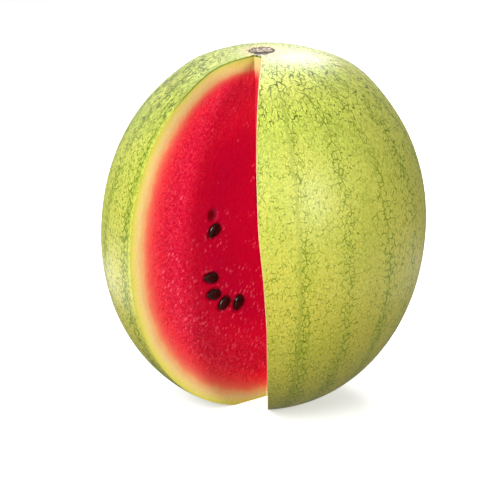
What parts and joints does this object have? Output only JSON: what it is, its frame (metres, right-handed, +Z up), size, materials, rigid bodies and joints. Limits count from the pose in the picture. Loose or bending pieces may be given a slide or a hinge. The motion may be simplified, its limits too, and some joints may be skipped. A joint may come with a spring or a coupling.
{
  "type": "watermelon",
  "caption": "Ripe watermelon standing upright with a wedge cut out from stem to base, showing pale rind, red flesh and dark seeds.",
  "frame": {"origin": "middle of the footprint, on the surface the melon stands on", "axes": "+Z up, from the blossom end to the stem end, along the longest side; the cut wedge opens towards -Y and -X"},
  "size_m": [0.2308, 0.23, 0.2583],
  "materials": {
    "rind": "waxy, half gloss skin with a fine net of darker green veins",
    "flesh": "moist, grainy red flesh that runs through pink to a pale rind",
    "seed": "wet, dark seed coat",
    "stem_cork": "dry, cracked cork"
  },
  "bodies": {
    "root": {"melon": "rind", "stem_scar": "stem_cork"}
  },
  "joints": []
}
